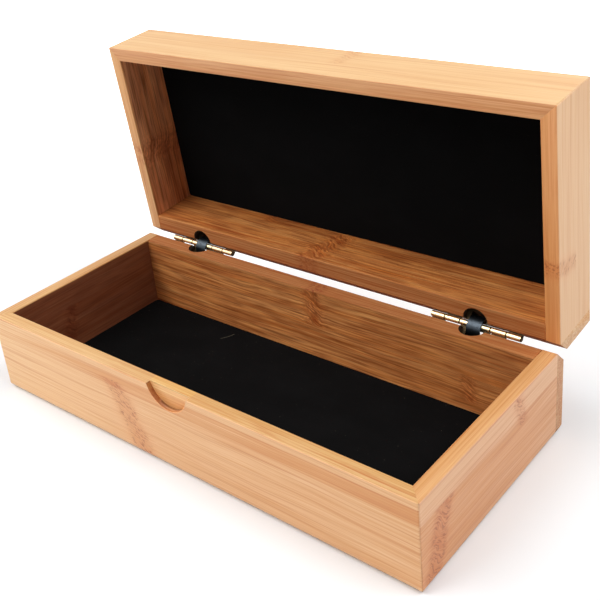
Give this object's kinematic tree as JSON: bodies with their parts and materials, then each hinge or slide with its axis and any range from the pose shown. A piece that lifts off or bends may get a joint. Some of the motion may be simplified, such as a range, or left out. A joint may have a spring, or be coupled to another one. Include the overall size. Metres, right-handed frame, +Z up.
{
  "type": "hinged wooden box",
  "caption": "Long shallow bamboo box with a deep lid on spring hinges, a thumb notch in front and black velvet linings, shown open.",
  "frame": {"origin": "centre of the underside of the tray, which rests on the table", "axes": "+X along the length to the right end, +Y from the front with the thumb notch to the hinges, +Z up; the lid stands open"},
  "size_m": [0.33, 0.1872, 0.2058],
  "materials": {
    "bamboo_face": "laminated bamboo, satin lacquer, grain along the board",
    "bamboo_end": "laminated bamboo, satin lacquer, grain along the board",
    "bamboo_panel": "laminated bamboo sheet, satin lacquer",
    "velvet": "black velvet on card",
    "hinge_brass": "polished brass plate",
    "spring_steel": "blackened spring steel"
  },
  "bodies": {
    "base": {"base_front_board": "bamboo_face", "base_back_board": "bamboo_face", "base_left_board": "bamboo_end", "base_right_board": "bamboo_end", "base_bottom_panel": "bamboo_panel", "base_lining": "velvet", "left_hinge_lower_leaf": "hinge_brass", "left_hinge_pin": "hinge_brass", "right_hinge_lower_leaf": "hinge_brass", "right_hinge_pin": "hinge_brass"},
    "lid": {"lid_front_board": "bamboo_face", "lid_back_board": "bamboo_face", "lid_left_board": "bamboo_end", "lid_right_board": "bamboo_end", "lid_top_panel": "bamboo_panel", "lid_lining": "velvet", "left_hinge_upper_leaf": "hinge_brass", "right_hinge_upper_leaf": "hinge_brass"},
    "left_spring": {"left_hinge_spring": "spring_steel"},
    "right_spring": {"right_hinge_spring": "spring_steel"}
  },
  "joints": [
    {"name": "lid_hinge", "type": "hinge", "parent": "base", "child": "lid", "pos_m": [0, 0.071, 0.056], "axis": [1, 0, 0], "range_deg": [0, 85]},
    {"name": "left_spring_turn", "type": "hinge", "parent": "base", "child": "left_spring", "pos_m": [-0.112, 0.071, 0.056], "axis": [1, 0, 0], "range_deg": [0, 42.5]},
    {"name": "right_spring_turn", "type": "hinge", "parent": "base", "child": "right_spring", "pos_m": [0.112, 0.071, 0.056], "axis": [1, 0, 0], "range_deg": [0, 42.5]}
  ],
  "couplings": [
    {"joint": "left_spring_turn", "follows": "lid_hinge", "ratio": 0.5},
    {"joint": "right_spring_turn", "follows": "lid_hinge", "ratio": 0.5}
  ]
}
